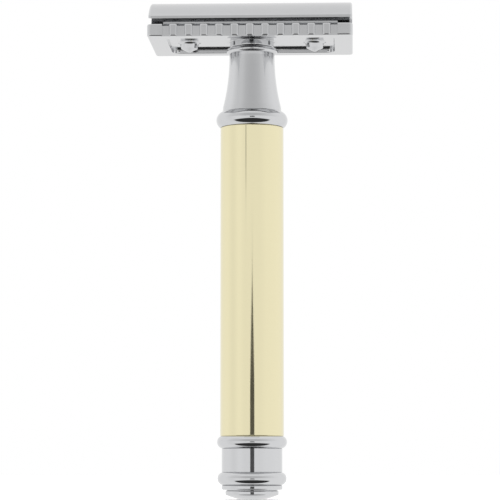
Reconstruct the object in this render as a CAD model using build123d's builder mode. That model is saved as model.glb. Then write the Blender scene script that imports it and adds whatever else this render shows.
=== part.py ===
from build123d import *
import math
import os

# Double-edge safety razor, in millimetres. It stands on its pommel: +Z runs up the handle,
# the origin is the centre of the standing face, and the head is long in X and deep in Y.

os.makedirs("parts", exist_ok=True)

# ---- driving dimensions: the standard blade ----
BLADE_LENGTH = 43.0
BLADE_WIDTH = 22.0
BLADE_THICKNESS = 0.1
BLADE_SLOT_WIDTH = 3.2
BLADE_SLOT_LENGTH = 34.0
BLADE_TAB_WIDTH = 13.2
BLADE_EDGE_LENGTH = 37.4

# ---- driving dimensions: the base plate ----
HEAD_LENGTH = 44.0
HEAD_DEPTH = 25.0
PLATE_CORNER = 0.9
TOP_ROUNDING = 0.36
FOOT_ROUNDING = 0.33
RIM_Z = 98.65
RECESS_CEILING_Z = 99.42
RECESS_LENGTH = 36.1
RECESS_DEPTH_Y = 18.4
RECESS_CORNER = 1.7
RECESS_ROUNDING = 0.12
RECESS_DRAFT = 10
BAR_TOP_Z = 101.33
BAR_VALLEY_Z = 100.93
BAR_THICKNESS = 1.4
BAR_VALLEY_DEPTH = 0.35
BAR_BLOCK_START = 18.75
LOBE_COUNT = 11
LOBE_PITCH = 3.28
LOBE_WIDTH = 1.8
LOBE_CORNER = 0.5
TROUGH_WALL_Y = 9.0
TROUGH_ROUNDING = 1.1
BED_LENGTH = 42.6
BED_HALF_DEPTH = 8.6
BED_FOOT_HALF_DEPTH = 9.4
BEND_RADIUS = 28.0
BLADE_CENTRE_Z = 104.83
CLAMP_GAP = 0.05

# ---- driving dimensions: the cap, its posts and its stud ----
CAP_LENGTH = 43.8
CAP_HALF_DEPTH = 10.6
CAP_CORNER = 0.7
CAP_CROWN_Z = 107.8
CAP_SHOULDER_Z = 103.48
CAP_HOLLOW_Z = 105.93
CAP_END_ROUNDING = 0.5
CAP_LIP_ROUNDING = 0.5

POST_SPACING = 27.4
POST_RADIUS = 1.0
POST_HOLE_RADIUS = 1.08
POST_TIP_Z = 99.95
POST_HOLE_FLOOR_Z = 99.65
BOSS_TIP_Z = 97.25
BOSS_NOSE_RADIUS = 0.75
BOSS_NOSE_Z = 97.55
BOSS_SHOULDER_RADIUS = 1.8
BOSS_SHOULDER_Z = 98.05
BOSS_ROOT_RADIUS = 2.1
BOSS_ROOT_ROUNDING = 0.7

STUD_RADIUS = 2.5
STUD_TIP_Z = 90.63
STUD_TOP_Z = 106.63
STUD_RUNNING_GAP = 0.05
STUD_HOLE_RADIUS = 2.7
CENTRE_BOSS_RADIUS = 4.8
CENTRE_BOSS_ROUNDING = 0.45
CENTRE_ROOT_ROUNDING = 0.15

# ---- driving dimensions: the handle, from the standing face upwards ----
STANDING_RADIUS = 2.4
KNOB_STEP_Z = 0.9
KNOB_GROOVE_Z = 2.1
KNOB_LOWER_RADIUS = 5.75
KNOB_UPPER_RADIUS = 6.57
KNOB_GROOVE_RADIUS = 5.4
POMMEL_RING_Z = 3.13
BAND_Z = 5.83
LOWER_COLLAR_Z = 10.98
SLEEVE_Z = 13.53
UPPER_COLLAR_Z = 80.5
NECK_Z = 83.95
NECK_FLARE_Z = 85.0
NECK_WAIST_Z = 96.1
FLANGE_Z = 96.7
NECK_TOP_Z = 97.93

POMMEL_BEAD_RADIUS = 7.45
LOWER_BEAD_RADIUS = 7.52
UPPER_BEAD_RADIUS = 7.75
BAND_RADIUS = 6.51
SLEEVE_RADIUS = 6.85
SLEEVE_BORE = 5.79
SLEEVE_END_ROUNDING = 0.25
NECK_FOOT_RADIUS = 6.38
NECK_FLARE_FOOT_RADIUS = 6.3
NECK_WAIST_RADIUS = 4.92
FLANGE_RADIUS = 5.5
FLANGE_ROUNDING = 0.55

SPIGOT_RADIUS = 5.74
SPIGOT_BOTTOM_Z = 73.73
PLUG_TOP_Z = 23.73
PLUG_CORE_RADIUS = 5.2
KNOB_SPIGOT_RADIUS = 4.0
KNOB_SPIGOT_TOP_Z = 8.73
WASHER_THICKNESS = 0.9
SEAL_GROOVE_RADIUS = 4.9
SEAL_GROOVE_WIDTH = 1.3
UPPER_SEAL_Z = 78.23
LOWER_SEAL_Z = 16.73
ROD_RADIUS = 2.5
ROD_BOTTOM_Z = 3.13
ROD_TOP_Z = 82.23
INSERT_RADIUS = 3.4
INSERT_BOTTOM_Z = 90.73
INSERT_TOP_Z = 97.53
SMALL_GAP = 0.05

HALF_HEAD = HEAD_DEPTH / 2
BEND_CENTRE_Z = BLADE_CENTRE_Z - BEND_RADIUS
BED_RADIUS = BEND_RADIUS - BLADE_THICKNESS / 2 - CLAMP_GAP
CAP_UNDERSIDE_RADIUS = BEND_RADIUS + BLADE_THICKNESS / 2 + CLAMP_GAP


def arc_height(radius, y):
    """Height at depth y of an arc about the blade's bending axis."""
    return BEND_CENTRE_Z + math.sqrt(radius**2 - y**2)


def finish(piece, label):
    """Label a finished piece and write it to its own file."""
    piece.part.label = label
    export_step(piece.part, f"parts/{label}.step")


# ---- end knob: domed foot, two stepped rings and the spigot for the ring and washer ----
with BuildPart() as end_knob:
    with BuildSketch(Plane.XZ):
        with BuildLine():
            Line((0, 0), (STANDING_RADIUS, 0))
            ThreePointArc((STANDING_RADIUS, 0), (4.0, 0.4), (KNOB_GROOVE_RADIUS, KNOB_STEP_Z))
            Polyline(
                (KNOB_GROOVE_RADIUS, KNOB_STEP_Z),
                (KNOB_LOWER_RADIUS, KNOB_STEP_Z),
                (KNOB_LOWER_RADIUS, KNOB_GROOVE_Z - 0.1),
                (KNOB_GROOVE_RADIUS, KNOB_GROOVE_Z - 0.1),
                (KNOB_GROOVE_RADIUS, KNOB_GROOVE_Z),
                (KNOB_UPPER_RADIUS, KNOB_GROOVE_Z),
                (KNOB_UPPER_RADIUS, POMMEL_RING_Z),
                (KNOB_SPIGOT_RADIUS, POMMEL_RING_Z),
                (KNOB_SPIGOT_RADIUS, KNOB_SPIGOT_TOP_Z),
                (0, KNOB_SPIGOT_TOP_Z),
                (0, 0),
            )
        make_face()
    revolve(axis=Axis.Z)
    ring_rims = (
        end_knob.edges()
        .filter_by(GeomType.CIRCLE)
        .filter_by(lambda e: e.radius in (KNOB_LOWER_RADIUS, KNOB_UPPER_RADIUS))
    )
    fillet(ring_rims, 0.3)
    with Locations((0, 0, KNOB_SPIGOT_TOP_Z)):
        Hole(ROD_RADIUS + SMALL_GAP, depth=KNOB_SPIGOT_TOP_Z - ROD_BOTTOM_Z + 0.2)
finish(end_knob, "end_knob")


# ---- the three beads: half-round rings with flat faces and a plain bore ----
def bead_ring(label, bottom_z, top_z, bore, foot_radius, head_radius, bead_radius):
    with BuildPart() as ring:
        with BuildSketch(Plane.XZ):
            with BuildLine():
                Line((bore, bottom_z), (foot_radius, bottom_z))
                ThreePointArc(
                    (foot_radius, bottom_z),
                    (bead_radius, (bottom_z + top_z) / 2),
                    (head_radius, top_z),
                )
                Polyline((head_radius, top_z), (bore, top_z), (bore, bottom_z))
            make_face()
        revolve(axis=Axis.Z)
    finish(ring, label)
    return ring


pommel_ring = bead_ring(
    "pommel_ring",
    POMMEL_RING_Z,
    BAND_Z,
    KNOB_SPIGOT_RADIUS + SMALL_GAP,
    BAND_RADIUS,
    BAND_RADIUS,
    POMMEL_BEAD_RADIUS,
)
lower_collar_ring = bead_ring(
    "lower_collar_ring",
    LOWER_COLLAR_Z,
    SLEEVE_Z,
    SLEEVE_BORE,
    BAND_RADIUS,
    SLEEVE_RADIUS,
    LOWER_BEAD_RADIUS,
)
upper_collar_ring = bead_ring(
    "upper_collar_ring",
    UPPER_COLLAR_Z,
    NECK_Z,
    SLEEVE_BORE,
    SLEEVE_RADIUS,
    NECK_FOOT_RADIUS + 0.1,
    UPPER_BEAD_RADIUS,
)

# ---- lower band: plain chromed tube between the pommel and the lower collar ----
with BuildPart() as lower_band:
    with BuildSketch(Plane.XY.offset(BAND_Z)):
        Circle(BAND_RADIUS)
        Circle(PLUG_CORE_RADIUS + SMALL_GAP, mode=Mode.SUBTRACT)
    extrude(amount=LOWER_COLLAR_Z - BAND_Z)
    band_rims = lower_band.edges().filter_by(GeomType.CIRCLE).group_by(SortBy.RADIUS)[-1]
    chamfer(band_rims, 0.1)
finish(lower_band, "lower_band")

# ---- handle sleeve: the plated tube that the hand holds ----
with BuildPart() as handle_sleeve:
    with BuildSketch(Plane.XY.offset(SLEEVE_Z)):
        Circle(SLEEVE_RADIUS)
        Circle(SLEEVE_BORE, mode=Mode.SUBTRACT)
    extrude(amount=UPPER_COLLAR_Z - SLEEVE_Z)
    fillet(handle_sleeve.edges().filter_by(GeomType.CIRCLE), SLEEVE_END_ROUNDING)
finish(handle_sleeve, "handle_sleeve")

# ---- lower plug: centres the sleeve, the lower collar and the band on the rod ----
with BuildPart() as lower_plug:
    with BuildSketch(Plane.XZ):
        with BuildLine():
            Polyline(
                (ROD_RADIUS + SMALL_GAP, KNOB_SPIGOT_TOP_Z + WASHER_THICKNESS),
                (KNOB_SPIGOT_RADIUS + SMALL_GAP, KNOB_SPIGOT_TOP_Z + WASHER_THICKNESS),
                (KNOB_SPIGOT_RADIUS + SMALL_GAP, BAND_Z),
                (PLUG_CORE_RADIUS, BAND_Z),
                (PLUG_CORE_RADIUS, LOWER_COLLAR_Z),
                (SPIGOT_RADIUS, LOWER_COLLAR_Z),
                (SPIGOT_RADIUS, LOWER_SEAL_Z),
                (SEAL_GROOVE_RADIUS, LOWER_SEAL_Z),
                (SEAL_GROOVE_RADIUS, LOWER_SEAL_Z + SEAL_GROOVE_WIDTH),
                (SPIGOT_RADIUS, LOWER_SEAL_Z + SEAL_GROOVE_WIDTH),
                (SPIGOT_RADIUS, PLUG_TOP_Z - 0.6),
                (SPIGOT_RADIUS - 0.6, PLUG_TOP_Z),
                (ROD_RADIUS + SMALL_GAP, PLUG_TOP_Z),
                close=True,
            )
        make_face()
    revolve(axis=Axis.Z)
finish(lower_plug, "lower_plug")

# ---- core rod: the tie that draws the pommel and the neck together ----
with BuildPart() as core_rod:
    with BuildSketch(Plane.XY.offset(ROD_BOTTOM_Z)):
        Circle(ROD_RADIUS)
    extrude(amount=ROD_TOP_Z - ROD_BOTTOM_Z)
    chamfer(core_rod.edges().filter_by(GeomType.CIRCLE), 0.4)
finish(core_rod, "core_rod")

# ---- lock washer: a split spring washer above the knob's spigot ----
with BuildPart() as lock_washer:
    with BuildSketch(Plane.XY.offset(KNOB_SPIGOT_TOP_Z)):
        Circle(KNOB_SPIGOT_RADIUS - 0.15)
        Circle(ROD_RADIUS + 0.2, mode=Mode.SUBTRACT)
        with Locations((KNOB_SPIGOT_RADIUS, 0)):
            Rectangle(KNOB_SPIGOT_RADIUS, 0.7, rotation=20, mode=Mode.SUBTRACT)
    extrude(amount=WASHER_THICKNESS)
finish(lock_washer, "lock_washer")


# ---- seals: O-rings squeezed between a groove and the sleeve ----
def seal_ring(label, groove_z):
    with BuildPart() as seal:
        with BuildSketch(Plane.XZ):
            with Locations(((SEAL_GROOVE_RADIUS + SLEEVE_BORE) / 2, groove_z + SEAL_GROOVE_WIDTH / 2)):
                RectangleRounded(SLEEVE_BORE - SEAL_GROOVE_RADIUS, SEAL_GROOVE_WIDTH - 0.1, 0.35)
        revolve(axis=Axis.Z)
    finish(seal, label)
    return seal


plug_seal = seal_ring("plug_seal", LOWER_SEAL_Z)
neck_seal = seal_ring("neck_seal", UPPER_SEAL_Z)

# ---- neck: flared stem, flange ring at the top, spigot in the sleeve, bored from both ends ----
with BuildPart() as neck:
    with BuildSketch(Plane.XZ):
        with BuildLine():
            Polyline(
                (0, SPIGOT_BOTTOM_Z),
                (SPIGOT_RADIUS - 0.6, SPIGOT_BOTTOM_Z),
                (SPIGOT_RADIUS, SPIGOT_BOTTOM_Z + 0.6),
                (SPIGOT_RADIUS, UPPER_SEAL_Z),
                (SEAL_GROOVE_RADIUS, UPPER_SEAL_Z),
                (SEAL_GROOVE_RADIUS, UPPER_SEAL_Z + SEAL_GROOVE_WIDTH),
                (SPIGOT_RADIUS, UPPER_SEAL_Z + SEAL_GROOVE_WIDTH),
                (SPIGOT_RADIUS, NECK_Z),
                (NECK_FOOT_RADIUS, NECK_Z),
                (NECK_FLARE_FOOT_RADIUS, NECK_FLARE_Z),
            )
            # the flare is an arc that runs straight up at the waist
            flare_run = NECK_WAIST_Z - NECK_FLARE_Z
            flare_drop = NECK_FLARE_FOOT_RADIUS - NECK_WAIST_RADIUS
            RadiusArc(
                (NECK_FLARE_FOOT_RADIUS, NECK_FLARE_Z),
                (NECK_WAIST_RADIUS, NECK_WAIST_Z),
                (flare_run**2 + flare_drop**2) / (2 * flare_drop),
            )
            Polyline(
                (NECK_WAIST_RADIUS, NECK_WAIST_Z),
                (NECK_WAIST_RADIUS, FLANGE_Z),
                (FLANGE_RADIUS, FLANGE_Z),
                (FLANGE_RADIUS, NECK_TOP_Z),
                (0, NECK_TOP_Z),
                (0, SPIGOT_BOTTOM_Z),
            )
        make_face()
    revolve(axis=Axis.Z)
    flange_rims = (
        neck.edges().filter_by(GeomType.CIRCLE).filter_by(lambda e: e.radius == FLANGE_RADIUS)
    )
    fillet(flange_rims, FLANGE_ROUNDING)
    with Locations((0, 0, NECK_TOP_Z)):
        CounterBoreHole(STUD_HOLE_RADIUS, INSERT_RADIUS, NECK_TOP_Z - INSERT_BOTTOM_Z, depth=10.0)
    with Locations(Location((0, 0, SPIGOT_BOTTOM_Z), (180, 0, 0))):
        Hole(ROD_RADIUS + SMALL_GAP, depth=ROD_TOP_Z - SPIGOT_BOTTOM_Z + 0.3)
finish(neck, "neck")

# ---- neck insert: the threaded bush that takes the cap's stud ----
with BuildPart() as neck_insert:
    with BuildSketch(Plane.XY.offset(INSERT_BOTTOM_Z)):
        Circle(INSERT_RADIUS)
        Circle(STUD_RADIUS + STUD_RUNNING_GAP, mode=Mode.SUBTRACT)
    extrude(amount=INSERT_TOP_Z - INSERT_BOTTOM_Z)
finish(neck_insert, "neck_insert")

# ---- base plate: crowned bed, troughs, scalloped safety bars, recessed underside, bosses ----
with BuildPart() as base_plate:
    # plate with plain blocks at its ends; between them the bars' faces are set back
    with BuildSketch(Plane.XY.offset(RIM_Z)):
        Rectangle(HEAD_LENGTH, HEAD_DEPTH)
        fillet(vertices(), PLATE_CORNER)
        with GridLocations(0, HEAD_DEPTH, 1, 2):
            Rectangle(2 * BAR_BLOCK_START, 2 * BAR_VALLEY_DEPTH, mode=Mode.SUBTRACT)
    extrude(amount=BAR_TOP_Z - RIM_Z)
    # crowned bed that bends the blade
    with BuildSketch(Plane.YZ):
        with BuildLine():
            bed_edge_z = arc_height(BED_RADIUS, BED_HALF_DEPTH)
            Polyline(
                (-BED_HALF_DEPTH, bed_edge_z),
                (-BED_FOOT_HALF_DEPTH, BAR_TOP_Z),
                (BED_FOOT_HALF_DEPTH, BAR_TOP_Z),
                (BED_HALF_DEPTH, bed_edge_z),
            )
            ThreePointArc(
                (-BED_HALF_DEPTH, bed_edge_z),
                (0, arc_height(BED_RADIUS, 0)),
                (BED_HALF_DEPTH, bed_edge_z),
            )
        make_face()
    extrude(amount=BED_LENGTH / 2, both=True)
    # between the end blocks: the low ledge of each bar, curving up into the side of the bed
    for side in (-1, 1):
        with BuildSketch(Plane.YZ):
            with BuildLine():
                FilletPolyline(
                    (side * TROUGH_WALL_Y, bed_edge_z),
                    (side * TROUGH_WALL_Y, BAR_VALLEY_Z),
                    (side * HALF_HEAD, BAR_VALLEY_Z),
                    radius=TROUGH_ROUNDING,
                )
                Polyline(
                    (side * HALF_HEAD, BAR_VALLEY_Z),
                    (side * HALF_HEAD, bed_edge_z),
                    (side * TROUGH_WALL_Y, bed_edge_z),
                )
            make_face()
        extrude(amount=BAR_BLOCK_START, both=True, mode=Mode.SUBTRACT)
    # scallops: round-cornered lobes standing proud of the bar's face and top
    with BuildSketch(Plane.XY.offset(RIM_Z)):
        with GridLocations(LOBE_PITCH, HEAD_DEPTH - BAR_THICKNESS, LOBE_COUNT, 2):
            RectangleRounded(LOBE_WIDTH, BAR_THICKNESS, LOBE_CORNER)
    extrude(amount=BAR_TOP_Z - RIM_Z)
    # soft edges round the tops and the feet of the lobes and blocks
    for edge_z, rounding in ((BAR_TOP_Z, TOP_ROUNDING), (RIM_Z, FOOT_ROUNDING)):
        outline_edges = (
            base_plate.edges()
            .filter_by(lambda e: abs(e.center().Z - edge_z) < 0.01)
            .filter_by(
                lambda e: abs(e.center().Y) > HALF_HEAD - BAR_VALLEY_DEPTH + 0.01
                or abs(e.center().X) > HEAD_LENGTH / 2 - PLATE_CORNER / 2
            )
        )
        fillet(outline_edges, rounding)
    # recess in the underside
    with BuildSketch(Plane.XY.offset(RIM_Z)):
        RectangleRounded(RECESS_LENGTH, RECESS_DEPTH_Y, RECESS_CORNER)
    extrude(amount=RECESS_CEILING_Z - RIM_Z, taper=RECESS_DRAFT, mode=Mode.SUBTRACT)
    recess_edges = (
        base_plate.edges()
        .filter_by(lambda e: abs(e.center().X) < HEAD_LENGTH / 2 - 1)
        .filter_by(lambda e: abs(e.center().Y) < HALF_HEAD - 2)
        .filter_by(lambda e: min(abs(e.center().Z - RIM_Z), abs(e.center().Z - RECESS_CEILING_Z)) < 0.01)
    )
    fillet(recess_edges, RECESS_ROUNDING)
    # centre boss that seats on the neck's flange
    with BuildSketch(Plane.XY.offset(NECK_TOP_Z)):
        Circle(CENTRE_BOSS_RADIUS)
    extrude(amount=RECESS_CEILING_Z - NECK_TOP_Z)
    fillet(base_plate.edges().group_by(Axis.Z)[0], CENTRE_BOSS_ROUNDING)
    # tapered, round-nosed bosses around the sockets of the cap's posts
    for side in (-1, 1):
        post_x = side * POST_SPACING / 2
        with BuildSketch(Plane(origin=(post_x, 0, 0), x_dir=(1, 0, 0), z_dir=(0, -1, 0))):
            with BuildLine():
                Line((0, RECESS_CEILING_Z), (0, BOSS_TIP_Z))
                ThreePointArc(
                    (0, BOSS_TIP_Z),
                    (BOSS_NOSE_RADIUS * 0.6, BOSS_TIP_Z + 0.1),
                    (BOSS_NOSE_RADIUS, BOSS_NOSE_Z),
                )
                Polyline(
                    (BOSS_NOSE_RADIUS, BOSS_NOSE_Z),
                    (BOSS_SHOULDER_RADIUS, BOSS_SHOULDER_Z),
                    (BOSS_ROOT_RADIUS, RECESS_CEILING_Z),
                    (0, RECESS_CEILING_Z),
                )
            make_face()
        revolve(axis=Axis((post_x, 0, 0), (0, 0, 1)))
    # hollow roundings where the bosses meet the recess's ceiling
    root_roundings = ((BOSS_ROOT_RADIUS, BOSS_ROOT_ROUNDING), (CENTRE_BOSS_RADIUS, CENTRE_ROOT_ROUNDING))
    for root_radius, rounding in root_roundings:
        boss_roots = (
            base_plate.edges()
            .filter_by(GeomType.CIRCLE)
            .filter_by(lambda e: abs(e.radius - root_radius) < 0.01)
            .filter_by(lambda e: abs(e.center().Z - RECESS_CEILING_Z) < 0.01)
        )
        fillet(boss_roots, rounding)
    # sockets for the posts, and the hole that the stud passes through
    with Locations((-POST_SPACING / 2, 0, BLADE_CENTRE_Z), (POST_SPACING / 2, 0, BLADE_CENTRE_Z)):
        Hole(POST_HOLE_RADIUS, depth=BLADE_CENTRE_Z - POST_HOLE_FLOOR_Z)
    with Locations((0, 0, BLADE_CENTRE_Z)):
        Hole(STUD_HOLE_RADIUS)
finish(base_plate, "base_plate")

# ---- blade: a flat strip bent about an axis along X, with its slot and its narrow end tabs ----
with BuildPart() as blade:
    half_bend = math.degrees(BLADE_WIDTH / 2 / BEND_RADIUS)
    with BuildSketch(Plane.YZ):
        with BuildLine():
            CenterArc((0, BEND_CENTRE_Z), BEND_RADIUS - BLADE_THICKNESS / 2, 90 - half_bend, 2 * half_bend)
            CenterArc((0, BEND_CENTRE_Z), BEND_RADIUS + BLADE_THICKNESS / 2, 90 - half_bend, 2 * half_bend)
            for angle in (90 - half_bend, 90 + half_bend):
                PolarLine(
                    Vector(0, BEND_CENTRE_Z)
                    + Vector(BEND_RADIUS - BLADE_THICKNESS / 2, 0).rotate(Axis.Z, angle),
                    BLADE_THICKNESS,
                    angle,
                )
        make_face()
    extrude(amount=BLADE_LENGTH / 2, both=True)
    with BuildSketch(Plane.XY.offset(BLADE_CENTRE_Z + 1)):
        SlotOverall(BLADE_SLOT_LENGTH, BLADE_SLOT_WIDTH)
        Circle(BLADE_SLOT_WIDTH)
        with GridLocations(BLADE_SLOT_LENGTH - 3, 0, 2, 1):
            RectangleRounded(2.4, 6.0, 0.6)
        tab_notch = (BLADE_LENGTH - BLADE_EDGE_LENGTH) / 2
        notch_depth = (BLADE_WIDTH - BLADE_TAB_WIDTH) / 2
        with GridLocations(BLADE_LENGTH - tab_notch, BLADE_WIDTH - notch_depth, 2, 2):
            Rectangle(tab_notch, notch_depth)
    extrude(amount=-6, mode=Mode.SUBTRACT)
finish(blade, "blade")

# ---- cap: crowned shell, hollow underside, boss for the stud and two alignment posts ----
with BuildPart() as cap:
    with BuildSketch(Plane.YZ):
        with BuildLine():
            ThreePointArc(
                (-CAP_HALF_DEPTH, CAP_SHOULDER_Z),
                (0, CAP_CROWN_Z),
                (CAP_HALF_DEPTH, CAP_SHOULDER_Z),
            )
            lip_z = arc_height(CAP_UNDERSIDE_RADIUS, CAP_HALF_DEPTH)
            for side_y in (-CAP_HALF_DEPTH, CAP_HALF_DEPTH):
                Line((side_y, CAP_SHOULDER_Z), (side_y, lip_z))
            ThreePointArc(
                (-CAP_HALF_DEPTH, lip_z),
                (0, arc_height(CAP_UNDERSIDE_RADIUS, 0)),
                (CAP_HALF_DEPTH, lip_z),
            )
        make_face()
        fillet(vertices().group_by(Axis.Y)[-1], CAP_LIP_ROUNDING)
    extrude(amount=CAP_LENGTH / 2, both=True)
    end_rims = cap.edges().filter_by(lambda e: abs(abs(e.center().X) - CAP_LENGTH / 2) < 0.01)
    fillet(end_rims.group_by(Axis.Z)[-1], CAP_END_ROUNDING)
    # corners rounded in plan
    with BuildSketch(Plane.XY.offset(CAP_SHOULDER_Z - 2)):
        RectangleRounded(CAP_LENGTH, 2 * CAP_HALF_DEPTH, CAP_CORNER)
    extrude(amount=CAP_CROWN_Z - CAP_SHOULDER_Z + 3, mode=Mode.INTERSECT)
    # hollow between the two clamping lands, leaving the bosses standing
    with BuildSketch(Plane.XY.offset(CAP_HOLLOW_Z)):
        RectangleRounded(CAP_LENGTH - 8, 2 * CAP_HALF_DEPTH - 9, 1.5)
        Circle(STUD_RADIUS + 1.6, mode=Mode.SUBTRACT)
        with Locations((-POST_SPACING / 2, 0), (POST_SPACING / 2, 0)):
            Circle(POST_RADIUS + 1.0, mode=Mode.SUBTRACT)
    extrude(amount=-3, mode=Mode.SUBTRACT)
    with BuildSketch(Plane.XY.offset(POST_TIP_Z)):
        with Locations((-POST_SPACING / 2, 0), (POST_SPACING / 2, 0)):
            Circle(POST_RADIUS)
    extrude(amount=CAP_HOLLOW_Z - POST_TIP_Z)
    post_tips = cap.edges().filter_by(lambda e: abs(e.center().Z - POST_TIP_Z) < 0.01)
    chamfer(post_tips, 0.3)
    with Locations(Location((0, 0, BLADE_CENTRE_Z - 1), (180, 0, 0))):
        Hole(STUD_RADIUS, depth=STUD_TOP_Z - BLADE_CENTRE_Z + 1)
finish(cap, "cap")

# ---- cap stud: the screw that pulls the head on to the neck ----
with BuildPart() as cap_stud:
    with BuildSketch(Plane.XY.offset(STUD_TIP_Z)):
        Circle(STUD_RADIUS)
    extrude(amount=STUD_TOP_Z - STUD_TIP_Z)
    chamfer(cap_stud.edges().group_by(Axis.Z)[0], 0.5)
finish(cap_stud, "cap_stud")
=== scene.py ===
"""Safety razor: looks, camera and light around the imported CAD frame. Metres throughout."""
import math

import bmesh
import bpy
from mathutils import Matrix, Vector


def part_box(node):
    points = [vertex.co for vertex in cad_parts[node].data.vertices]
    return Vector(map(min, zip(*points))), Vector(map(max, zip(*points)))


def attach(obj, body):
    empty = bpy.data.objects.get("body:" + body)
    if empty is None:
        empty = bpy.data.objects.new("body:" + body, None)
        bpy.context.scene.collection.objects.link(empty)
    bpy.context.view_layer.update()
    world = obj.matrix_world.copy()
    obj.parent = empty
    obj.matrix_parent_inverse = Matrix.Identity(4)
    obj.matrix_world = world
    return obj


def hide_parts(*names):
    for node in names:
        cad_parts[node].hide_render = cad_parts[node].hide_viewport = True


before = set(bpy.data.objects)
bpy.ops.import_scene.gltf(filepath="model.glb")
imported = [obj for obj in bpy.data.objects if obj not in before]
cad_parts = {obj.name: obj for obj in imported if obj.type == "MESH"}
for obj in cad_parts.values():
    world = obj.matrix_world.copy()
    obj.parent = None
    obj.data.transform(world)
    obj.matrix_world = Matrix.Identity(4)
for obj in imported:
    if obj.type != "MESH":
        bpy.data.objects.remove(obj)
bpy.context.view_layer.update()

MM = 0.001
scene = bpy.context.scene

# ---------------------------------------------------------------- camera

CAMERA_DISTANCE = 0.515
CAMERA_HEIGHT = 0.00593
CAMERA_AZIMUTH = math.radians(2.38)
CAMERA_PITCH = math.radians(5.314)
CAMERA_PAN = math.radians(0.049)
LENS_MM = 171.8


def make_camera():
    """A long lens at the height of the pommel, tipped up a little to centre the razor."""
    data = bpy.data.cameras.new("camera")
    data.lens = LENS_MM
    data.sensor_width = 36.0
    data.clip_start = 0.01
    data.clip_end = 20.0
    camera = bpy.data.objects.new("camera", data)
    scene.collection.objects.link(camera)
    heading = CAMERA_AZIMUTH + CAMERA_PAN
    look = Vector((-math.sin(heading) * math.cos(CAMERA_PITCH),
                   math.cos(heading) * math.cos(CAMERA_PITCH),
                   math.sin(CAMERA_PITCH)))
    right = Vector((math.cos(heading), math.sin(heading), 0.0))
    axes = Matrix((right, right.cross(look), -look)).transposed().to_4x4()
    place = Vector((CAMERA_DISTANCE * math.sin(CAMERA_AZIMUTH),
                    -CAMERA_DISTANCE * math.cos(CAMERA_AZIMUTH),
                    CAMERA_HEIGHT))
    camera.matrix_world = Matrix.Translation(place) @ axes
    scene.camera = camera


make_camera()

# ---------------------------------------------------------------- node helpers


class Graph:
    """Short ways to add and join shader nodes in one node tree."""

    def __init__(self, tree):
        self.nodes = tree.nodes
        self.links = tree.links

    def add(self, kind, **settings):
        """Add a node; settings name its inputs, where a socket is linked, or its properties."""
        node = self.nodes.new(kind)
        for key, value in settings.items():
            label = key.replace("_", " ")
            if label in node.inputs:
                self.feed(node.inputs[label], value)
            else:
                setattr(node, key, value)
        return node

    def feed(self, socket, value):
        """Link a socket, or set it where the value is a plain one."""
        if isinstance(value, bpy.types.NodeSocket):
            self.links.new(value, socket)
        else:
            socket.default_value = value

    def math(self, operation, *values):
        node = self.nodes.new("ShaderNodeMath")
        node.operation = operation
        for socket, value in zip(node.inputs, values):
            self.feed(socket, value)
        return node.outputs[0]

    def product(self, *values):
        result = values[0]
        for value in values[1:]:
            result = self.math("MULTIPLY", result, value)
        return result

    def dot(self, first, second):
        node = self.add("ShaderNodeVectorMath", operation="DOT_PRODUCT")
        self.feed(node.inputs[0], first)
        self.feed(node.inputs[1], second)
        return node.outputs["Value"]

    def remap(self, value, old_low, old_high, new_low, new_high):
        """A smooth step from new_low to new_high while value goes from old_low to old_high."""
        node = self.add("ShaderNodeMapRange", interpolation_type="SMOOTHSTEP", Value=value,
                        From_Min=old_low, From_Max=old_high, To_Min=new_low, To_Max=new_high)
        return node.outputs["Result"]

    def between(self, value, low, high, soft):
        """1 between low and high, 0 outside, with soft edges."""
        return self.product(self.remap(value, low - soft, low + soft, 0.0, 1.0),
                            self.remap(value, high - soft, high + soft, 1.0, 0.0))

    def noise(self, stretch, detail=3.0, offset=(0.0, 0.0, 0.0)):
        """Noise in the object's own coordinates; stretch is features per metre along X, Y and Z."""
        coordinates = self.add("ShaderNodeTexCoord").outputs["Object"]
        placed = self.add("ShaderNodeMapping", Vector=coordinates, Location=offset, Scale=stretch)
        node = self.add("ShaderNodeTexNoise", Vector=placed.outputs[0], Scale=1.0, Detail=detail)
        return node.outputs["Fac"]


def new_material(name):
    """A material with its node graph and its main shader."""
    material = bpy.data.materials.new(name)
    material.use_nodes = True
    return material, Graph(material.node_tree), material.node_tree.nodes["Principled BSDF"]


# ---------------------------------------------------------------- materials

LATHE = (300.0, 300.0, 9000.0)
ROLLED = (250.0, 9000.0, 9000.0)
CAST = (900.0, 900.0, 900.0)
EDGE_RADIUS = 0.12 * MM
# Painted shade in recesses: the reach of the ambient occlusion and the grey it mixes into the base
# colour.
PAINTED_SHADE_REACH = 2.0 * MM
PAINTED_SHADE_GREY = (0.25, 0.25, 0.25, 1.0)


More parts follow.
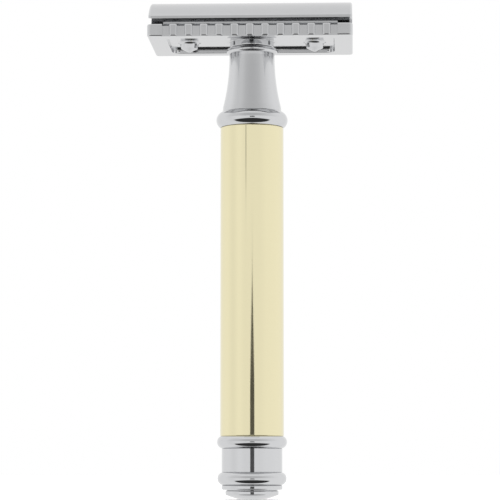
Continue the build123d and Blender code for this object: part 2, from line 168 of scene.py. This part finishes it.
def metal(name, colour, roughness, grain, grain_height, tint_change=0.03, wear=0.08, recess_shade=0.0):
    """Polished or brushed metal: uneven polish, fine tool lines, worn edges, and painted shade that
    greys the base colour in recesses.
    """
    material, graph, shader = new_material(name)
    smudge = graph.noise((160.0, 160.0, 110.0), 5.0)
    lines = graph.noise(grain, 4.0, (0.3, 0.7, 0.1))
    rounded = graph.add("ShaderNodeBevel", samples=4, Radius=EDGE_RADIUS).outputs["Normal"]
    true_normal = graph.add("ShaderNodeNewGeometry").outputs["Normal"]
    edge = graph.remap(graph.dot(rounded, true_normal), 0.97, 0.75, 0.0, 1.0)
    polish = graph.remap(smudge, 0.3, 0.7, 0.75 * roughness, 1.35 * roughness)
    graph.feed(shader.inputs["Roughness"], graph.math("ADD", polish, graph.math("MULTIPLY", edge, wear)))
    dull = tuple(part * (1.0 - tint_change) for part in colour)
    bright = tuple(min(1.0, part * (1.0 + tint_change)) for part in colour)
    tint = graph.add("ShaderNodeMix", data_type="RGBA")
    graph.feed(tint.inputs["Factor"], graph.math("ADD", graph.math("MULTIPLY", smudge, 0.5),
                                                 graph.math("MULTIPLY", lines, 0.5)))
    tint.inputs[6].default_value = (*dull, 1.0)
    tint.inputs[7].default_value = (*bright, 1.0)
    # Painted shade: where ambient occlusion finds surfaces close by, the base colour is mixed toward a
    # grey.
    open_side = graph.add("ShaderNodeAmbientOcclusion", samples=8, Distance=PAINTED_SHADE_REACH).outputs["AO"]
    painted_shade = graph.add("ShaderNodeMix", data_type="RGBA")
    graph.feed(painted_shade.inputs["Factor"], graph.remap(open_side, 0.25, 0.8, recess_shade, 0.0))
    graph.feed(painted_shade.inputs[6], tint.outputs[2])
    painted_shade.inputs[7].default_value = PAINTED_SHADE_GREY
    graph.feed(shader.inputs["Base Color"], painted_shade.outputs[2])
    relief = graph.add("ShaderNodeBump", Strength=0.6, Distance=grain_height, Height=lines)
    graph.feed(shader.inputs["Normal"], relief.outputs["Normal"])
    shader.inputs["Metallic"].default_value = 1.0
    return material


def rubber(name):
    """Matt black rubber with a fine moulded grain."""
    material, graph, shader = new_material(name)
    grain = graph.noise((4000.0, 4000.0, 4000.0), 4.0)
    bloom = graph.noise((250.0, 250.0, 250.0), 3.0)
    graph.feed(shader.inputs["Roughness"], graph.remap(bloom, 0.3, 0.7, 0.45, 0.7))
    tint = graph.add("ShaderNodeMix", data_type="RGBA", Factor=bloom)
    tint.inputs[6].default_value = (0.015, 0.015, 0.016, 1.0)
    tint.inputs[7].default_value = (0.035, 0.035, 0.036, 1.0)
    graph.feed(shader.inputs["Base Color"], tint.outputs[2])
    relief = graph.add("ShaderNodeBump", Strength=0.5, Distance=0.02 * MM, Height=grain)
    graph.feed(shader.inputs["Normal"], relief.outputs["Normal"])
    return material


def ground_strip(name, edge_y, ground_width):
    """Rolled blade steel whose two long edges are ground bright."""
    material = metal(name, (0.46, 0.47, 0.48), 0.24, ROLLED, 0.0006 * MM, 0.06)
    graph = Graph(material.node_tree)
    shader = material.node_tree.nodes["Principled BSDF"]
    place = graph.add("ShaderNodeTexCoord").outputs["Object"]
    across = graph.math("ABSOLUTE", graph.add("ShaderNodeSeparateXYZ", Vector=place).outputs["Y"])
    ground = graph.remap(across, edge_y - ground_width, edge_y - 0.9 * ground_width, 0.0, 1.0)
    plain_tint = shader.inputs["Base Color"].links[0].from_socket
    tint = graph.add("ShaderNodeMix", data_type="RGBA", Factor=ground)
    graph.feed(tint.inputs[6], plain_tint)
    tint.inputs[7].default_value = (0.66, 0.67, 0.68, 1.0)
    graph.feed(shader.inputs["Base Color"], tint.outputs[2])
    plain_polish = shader.inputs["Roughness"].links[0].from_socket
    keep = graph.math("SUBTRACT", 1.0, graph.math("MULTIPLY", ground, 0.6))
    graph.feed(shader.inputs["Roughness"], graph.math("MULTIPLY", plain_polish, keep))
    return material


BLADE_EDGE_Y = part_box("blade")[1][1]
CHROME_COLOUR = (0.605, 0.61, 0.62)
# The cap and base plate carry painted shade, a greyed base colour, in their recesses.
PLATE_CHROME = metal("plate_chrome", CHROME_COLOUR, 0.07, CAST, 0.0005 * MM, recess_shade=0.35)
TURNED_CHROME = metal("turned_chrome", CHROME_COLOUR, 0.055, LATHE, 0.0003 * MM)
NECK_CHROME = metal("neck_chrome", CHROME_COLOUR, 0.1, LATHE, 0.0006 * MM)
GOLD = metal("gold_plate", (0.785, 0.725, 0.485), 0.06, LATHE, 0.0002 * MM, 0.02)
BLADE_STEEL = ground_strip("blade_steel", BLADE_EDGE_Y, 0.55 * MM)
STUD_STEEL = metal("stud_steel", (0.55, 0.55, 0.53), 0.2, LATHE, 0.001 * MM, 0.05)
BRASS = metal("machined_brass", (0.72, 0.55, 0.26), 0.18, LATHE, 0.0015 * MM, 0.06)
RUBBER = rubber("seal_rubber")

LOOKS = {
    "cap": PLATE_CHROME, "base_plate": PLATE_CHROME, "neck": NECK_CHROME,
    "upper_collar_ring": TURNED_CHROME, "lower_collar_ring": TURNED_CHROME,
    "lower_band": TURNED_CHROME, "pommel_ring": TURNED_CHROME, "end_knob": TURNED_CHROME,
    "handle_sleeve": GOLD, "blade": BLADE_STEEL, "cap_stud": STUD_STEEL, "core_rod": STUD_STEEL,
    "lock_washer": STUD_STEEL, "neck_insert": BRASS, "lower_plug": BRASS,
    "neck_seal": RUBBER, "plug_seal": RUBBER,
}
for name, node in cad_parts.items():
    node.data.materials.clear()
    node.data.materials.append(LOOKS[name])

# ---------------------------------------------------------------- the stud's thread

THREAD_PITCH = 0.8 * MM
THREAD_STEPS = 64
# one pitch of the profile: share of the pitch, share of the thread's depth
THREAD_PROFILE = ((0.0, 0.0), (0.2, 0.0), (0.53, 1.0), (0.67, 1.0))
THREAD_DEPTH = 0.54 * THREAD_PITCH


def make_thread():
    """The cap's stud with its helical thread, in place of the plain cylinder."""
    low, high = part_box("cap_stud")
    major = (high[0] - low[0]) / 2
    minor = major - THREAD_DEPTH
    turns = math.ceil((high[2] - low[2]) / THREAD_PITCH) + 1
    shape = bmesh.new()
    columns = []
    for step in range(THREAD_STEPS + 1):
        angle = 2 * math.pi * step / THREAD_STEPS
        rise = low[2] + THREAD_PITCH * (step / THREAD_STEPS - 1)
        column = []
        for turn in range(turns + 1):
            for share, depth in THREAD_PROFILE:
                z = rise + THREAD_PITCH * (turn + share)
                radius = minor + THREAD_DEPTH * depth
                if not low[2] < z < high[2]:
                    z = min(max(z, low[2]), high[2])
                    radius = minor
                column.append(shape.verts.new((radius * math.cos(angle), radius * math.sin(angle), z)))
        columns.append(column)
    for left, right in zip(columns, columns[1:]):
        for index in range(len(left) - 1):
            shape.faces.new((left[index], right[index], right[index + 1], left[index + 1]))
    bmesh.ops.remove_doubles(shape, verts=shape.verts, dist=1e-7)
    bmesh.ops.dissolve_degenerate(shape, dist=1e-8, edges=shape.edges)
    rims = [edge for edge in shape.edges if edge.is_boundary]
    bmesh.ops.holes_fill(shape, edges=rims, sides=0)
    bmesh.ops.recalc_face_normals(shape, faces=shape.faces)
    mesh = bpy.data.meshes.new("stud_thread")
    shape.to_mesh(mesh)
    shape.free()
    piece = bpy.data.objects.new("stud_thread", mesh)
    scene.collection.objects.link(piece)
    mesh.materials.append(STUD_STEEL)
    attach(piece, "upper_head")
    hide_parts("cap_stud")


make_thread()

# ---------------------------------------------------------------- light and stage

# angles of the light tent: azimuth from the camera's side, elevation from the horizon
SLIT_CENTRE = math.radians(0.7)
SLIT_HALF_WIDTH = math.radians(7.7)
SLIT_BOTTOM = math.radians(-9.8)
SLIT_TAPER = math.radians(1.7)
SLIT_TOP = math.radians(5.4)
SLIT_BRIGHTNESS = 0.11
SEAM_SIDES = (math.radians(-24.5), math.radians(-20.0))
SEAM_FOOT = (math.radians(6.0), math.radians(7.8))
SEAM_HEAD = (math.radians(8.6), math.radians(9.2))
SEAM_BRIGHTNESS = 0.6
CEILING_START = math.radians(9.3)
CEILING_FADE = (math.radians(36.0), math.radians(54.0))
CEILING_AHEAD = 0.66
CEILING_BEHIND = math.radians(115.0)
TABLE_GAP_CENTRE = math.radians(-54.0)
TABLE_GAP_HALF_HEIGHT = math.radians(32.0)
TABLE_GAP_HALF_WIDTH = 0.78
TABLE_GAP_BRIGHTNESS = 0.04
SOFT_EDGE = 0.02
# brightness of the tent's wall by direction, in degrees from the camera
WALL_BRIGHTNESS = ((-180, 0.9), (-150, 1.0), (-103, 1.04), (-73, 0.97), (-48, 1.04), (-25, 0.99),
                   (25, 0.99), (60, 1.04), (110, 1.06), (150, 1.0), (180, 0.9))
FLOOR_RADIUS = 3.0
FLOOR_GAP = 0.02 * MM


def make_world():
    """A white light tent with the camera's slit, a greyer ceiling and a gap above the table."""
    world = bpy.data.worlds.new("light_tent")
    scene.world = world
    world.use_nodes = True
    graph = Graph(world.node_tree)
    direction = graph.add("ShaderNodeTexCoord").outputs["Generated"]
    sine, cosine = math.sin(CAMERA_AZIMUTH), math.cos(CAMERA_AZIMUTH)
    forward = graph.dot(direction, (sine, -cosine, 0.0))
    sideways = graph.dot(direction, (cosine, sine, 0.0))
    upward = graph.dot(direction, (0.0, 0.0, 1.0))
    azimuth = graph.math("ARCTAN2", sideways, forward)
    elevation = graph.math("ARCSINE", upward)
    tip = graph.math("ARCTAN2", upward, forward)

    wall = graph.add("ShaderNodeValToRGB", Fac=graph.math("MULTIPLY_ADD", azimuth, 0.5 / math.pi, 0.5))
    wall.color_ramp.interpolation = "EASE"
    stops = wall.color_ramp.elements
    while len(stops) < len(WALL_BRIGHTNESS):
        stops.new(0.5)
    for stop, (degrees, brightness) in zip(stops, WALL_BRIGHTNESS):
        stop.position = degrees / 360 + 0.5
        stop.color = (brightness, brightness, brightness, 1.0)

    width = graph.remap(elevation, SLIT_TAPER, SLIT_TOP, SLIT_HALF_WIDTH, 0.0)
    from_slit = graph.math("ABSOLUTE", graph.math("SUBTRACT", azimuth, SLIT_CENTRE))
    past_slit = graph.math("SUBTRACT", from_slit, width)
    slit = graph.product(graph.remap(past_slit, -SOFT_EDGE, SOFT_EDGE, 1.0, 0.0),
                         graph.between(elevation, SLIT_BOTTOM, SLIT_TOP, SOFT_EDGE))
    seam = graph.product(graph.between(azimuth, *SEAM_SIDES, SOFT_EDGE),
                         graph.remap(elevation, *SEAM_FOOT, 0.0, 1.0),
                         graph.remap(elevation, *SEAM_HEAD, 1.0, 0.0))
    ceiling = graph.product(graph.remap(elevation, CEILING_START - 0.01, CEILING_START + 0.03, 0.0, 1.0),
                            graph.remap(elevation, *CEILING_FADE, 1.0, 0.15))
    turned_away = graph.math("ABSOLUTE", azimuth)
    ceiling_shade = graph.remap(turned_away, 0.0, CEILING_BEHIND, CEILING_AHEAD, 1.0)
    across = graph.math("DIVIDE", sideways, TABLE_GAP_HALF_WIDTH)
    along = graph.math("DIVIDE", graph.math("SUBTRACT", tip, TABLE_GAP_CENTRE), TABLE_GAP_HALF_HEIGHT)
    reach = graph.math("ADD", graph.product(across, across), graph.product(along, along))
    table_gap = graph.remap(reach, 0.8, 1.2, 1.0, 0.0)

    light = graph.product(wall.outputs["Color"],
                          graph.remap(slit, 0.0, 1.0, 1.0, SLIT_BRIGHTNESS),
                          graph.remap(seam, 0.0, 1.0, 1.0, SEAM_BRIGHTNESS),
                          graph.remap(ceiling, 0.0, 1.0, 1.0, ceiling_shade),
                          graph.remap(table_gap, 0.0, 1.0, 1.0, TABLE_GAP_BRIGHTNESS))
    backdrop = graph.add("ShaderNodeLightPath").outputs["Is Camera Ray"]
    background = world.node_tree.nodes["Background"]
    graph.feed(background.inputs["Color"], graph.math("MAXIMUM", light, backdrop))


def make_floor():
    """A plain pale disc just under the standing face, kept out of the metal's reflections."""
    mesh = bpy.data.meshes.new("floor")
    floor = bpy.data.objects.new("floor", mesh)
    scene.collection.objects.link(floor)
    shape = bmesh.new()
    bmesh.ops.create_circle(shape, cap_ends=True, radius=FLOOR_RADIUS, segments=64)
    shape.to_mesh(mesh)
    shape.free()
    floor.location.z = -FLOOR_GAP
    floor.visible_glossy = False
    material, graph, shader = new_material("floor")
    shader.inputs["Base Color"].default_value = (0.97, 0.97, 0.97, 1.0)
    shader.inputs["Roughness"].default_value = 0.9
    mesh.materials.append(material)


def make_overhead_light():
    """A large soft light above the floor; the metal doesn't mirror its frame."""
    data = bpy.data.lights.new("overhead", "AREA")
    data.shape = "DISK"
    data.size = 5.0
    data.energy = 60.0
    light = bpy.data.objects.new("overhead", data)
    light.location = (0.0, 0.0, 2.5)
    light.visible_glossy = False
    light.visible_camera = False
    scene.collection.objects.link(light)


make_world()
make_floor()
make_overhead_light()
scene.view_settings.view_transform = "Standard"
